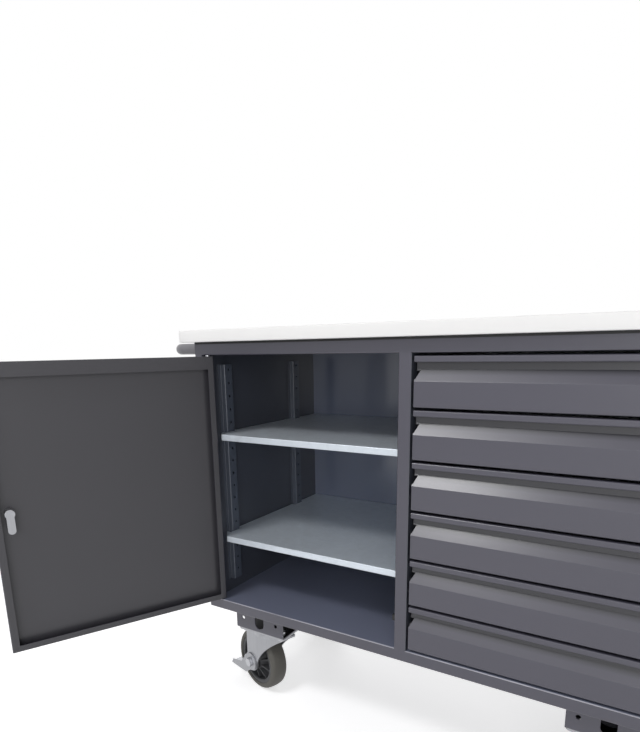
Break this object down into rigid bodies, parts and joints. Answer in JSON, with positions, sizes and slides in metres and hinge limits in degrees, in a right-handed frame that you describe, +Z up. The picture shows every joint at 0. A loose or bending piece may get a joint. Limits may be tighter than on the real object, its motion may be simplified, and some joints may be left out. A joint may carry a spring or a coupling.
{
  "type": "mobile workbench",
  "caption": "Mobile workbench: folded steel body with an open cupboard door and shelves on the left, drawers with grip fronts on the right, pale worktop, push handle and casters.",
  "frame": {"origin": "on the floor, below the middle of the bench's overall box with the door standing open", "axes": "+X to the right along the front, +Y from the front to the rear, +Z up"},
  "size_m": [1.2154, 0.9166, 0.905],
  "materials": {
    "body_paint": "satin anthracite powder coat",
    "inner_paint": "dark anthracite powder coat",
    "zinc_steel": "bright zinc plate",
    "galvanised_sheet": "galvanised, slightly bluish",
    "handle_tube": "satin grey powder coat",
    "worktop_board": "pale laminate over board",
    "black_rubber": "matte",
    "black_plastic": "matte",
    "wheel_plastic": "dark moulded nylon",
    "grey_tyre": "grey elastic rubber"
  },
  "bodies": {
    "carcass": {"worktop": "worktop_board", "worktop_screws": "zinc_steel", "top_panel": "body_paint", "base_panel": "body_paint", "left_side_panel": "body_paint", "left_side_liner": "inner_paint", "right_side_panel": "body_paint", "right_side_liner": "inner_paint", "middle_panel": "body_paint", "middle_liner": "inner_paint", "back_panel": "body_paint", "left_uprights": "inner_paint", "right_uprights": "inner_paint", "upper_shelf": "galvanised_sheet", "lower_shelf": "galvanised_sheet", "shelf_clips": "zinc_steel", "drawer_runners": "zinc_steel", "push_handle": "handle_tube", "push_handle_screws": "zinc_steel", "hinge_pins": "zinc_steel", "door_buffer": "black_rubber", "caster_brackets": "body_paint", "bracket_screws": "zinc_steel", "caster_bolts": "zinc_steel", "front_swivel_plate": "zinc_steel", "rear_swivel_plate": "zinc_steel", "fixed_forks": "zinc_steel", "fixed_axles": "zinc_steel"},
    "door": {"door_panel": "inner_paint", "lock_housing": "zinc_steel"},
    "lock": {"lock_knob": "black_plastic", "lock_cam": "zinc_steel"},
    "drawer_1": {"drawer_1_front": "body_paint", "drawer_1_box": "zinc_steel"},
    "drawer_2": {"drawer_2_front": "body_paint", "drawer_2_box": "zinc_steel"},
    "drawer_3": {"drawer_3_front": "body_paint", "drawer_3_box": "zinc_steel"},
    "drawer_4": {"drawer_4_front": "body_paint", "drawer_4_box": "zinc_steel"},
    "drawer_5": {"drawer_5_front": "body_paint", "drawer_5_box": "zinc_steel"},
    "drawer_6": {"drawer_6_front": "body_paint", "drawer_6_box": "zinc_steel"},
    "front_caster": {"front_swivel_fork": "zinc_steel", "front_swivel_axle": "zinc_steel"},
    "rear_caster": {"rear_swivel_fork": "zinc_steel", "rear_swivel_axle": "zinc_steel"},
    "front_brake": {"front_brake_pedal": "zinc_steel"},
    "rear_brake": {"rear_brake_pedal": "zinc_steel"},
    "front_left_wheel": {"front_left_wheel_core": "wheel_plastic", "front_left_tyre": "grey_tyre"},
    "rear_left_wheel": {"rear_left_wheel_core": "wheel_plastic", "rear_left_tyre": "grey_tyre"},
    "front_right_wheel": {"front_right_wheel_core": "wheel_plastic", "front_right_tyre": "grey_tyre"},
    "rear_right_wheel": {"rear_right_wheel_core": "wheel_plastic", "rear_right_tyre": "grey_tyre"}
  },
  "joints": [
    {"name": "door_swing", "type": "hinge", "parent": "carcass", "child": "door", "pos_m": [-0.38639, -0.04499, 0.5635], "axis": [0, 0, 1], "range_deg": [-2, 116]},
    {"name": "lock_turn", "type": "hinge", "parent": "door", "child": "lock", "pos_m": [-0.57819, -0.42386, 0.5635], "axis": [-0.8988, 0.4384, 0], "range_deg": [0, 90]},
    {"name": "drawer_1_slide", "type": "slide", "parent": "carcass", "child": "drawer_1", "axis": [0, -1, 0], "range_m": [0, 0.3]},
    {"name": "drawer_2_slide", "type": "slide", "parent": "carcass", "child": "drawer_2", "axis": [0, -1, 0], "range_m": [0, 0.3]},
    {"name": "drawer_3_slide", "type": "slide", "parent": "carcass", "child": "drawer_3", "axis": [0, -1, 0], "range_m": [0, 0.3]},
    {"name": "drawer_4_slide", "type": "slide", "parent": "carcass", "child": "drawer_4", "axis": [0, -1, 0], "range_m": [0, 0.3]},
    {"name": "drawer_5_slide", "type": "slide", "parent": "carcass", "child": "drawer_5", "axis": [0, -1, 0], "range_m": [0, 0.3]},
    {"name": "drawer_6_slide", "type": "slide", "parent": "carcass", "child": "drawer_6", "axis": [0, -1, 0], "range_m": [0, 0.3]},
    {"name": "front_swivel", "type": "hinge", "parent": "carcass", "child": "front_caster", "pos_m": [-0.29179, 0.03571, 0.195], "axis": [0, 0, 1], "continuous": true},
    {"name": "rear_swivel", "type": "hinge", "parent": "carcass", "child": "rear_caster", "pos_m": [-0.29179, 0.34671, 0.195], "axis": [0, 0, 1], "continuous": true},
    {"name": "front_left_wheel_spin", "type": "hinge", "parent": "front_caster", "child": "front_left_wheel", "pos_m": [-0.3441, 0.05271, 0.08], "axis": [0.309, 0.9511, 0], "continuous": true},
    {"name": "front_brake_press", "type": "hinge", "parent": "front_caster", "child": "front_brake", "pos_m": [-0.3441, 0.05271, 0.08], "axis": [0.309, 0.9511, 0], "range_deg": [-12, 0]},
    {"name": "rear_left_wheel_spin", "type": "hinge", "parent": "rear_caster", "child": "rear_left_wheel", "pos_m": [-0.34492, 0.36095, 0.08], "axis": [0.2588, 0.9659, 0], "continuous": true},
    {"name": "rear_brake_press", "type": "hinge", "parent": "rear_caster", "child": "rear_brake", "pos_m": [-0.34492, 0.36095, 0.08], "axis": [0.2588, 0.9659, 0], "range_deg": [-12, 0]},
    {"name": "front_right_wheel_spin", "type": "hinge", "parent": "carcass", "child": "front_right_wheel", "pos_m": [0.45721, 0.03571, 0.08], "axis": [0, 1, 0], "continuous": true},
    {"name": "rear_right_wheel_spin", "type": "hinge", "parent": "carcass", "child": "rear_right_wheel", "pos_m": [0.45721, 0.34671, 0.08], "axis": [0, 1, 0], "continuous": true}
  ]
}
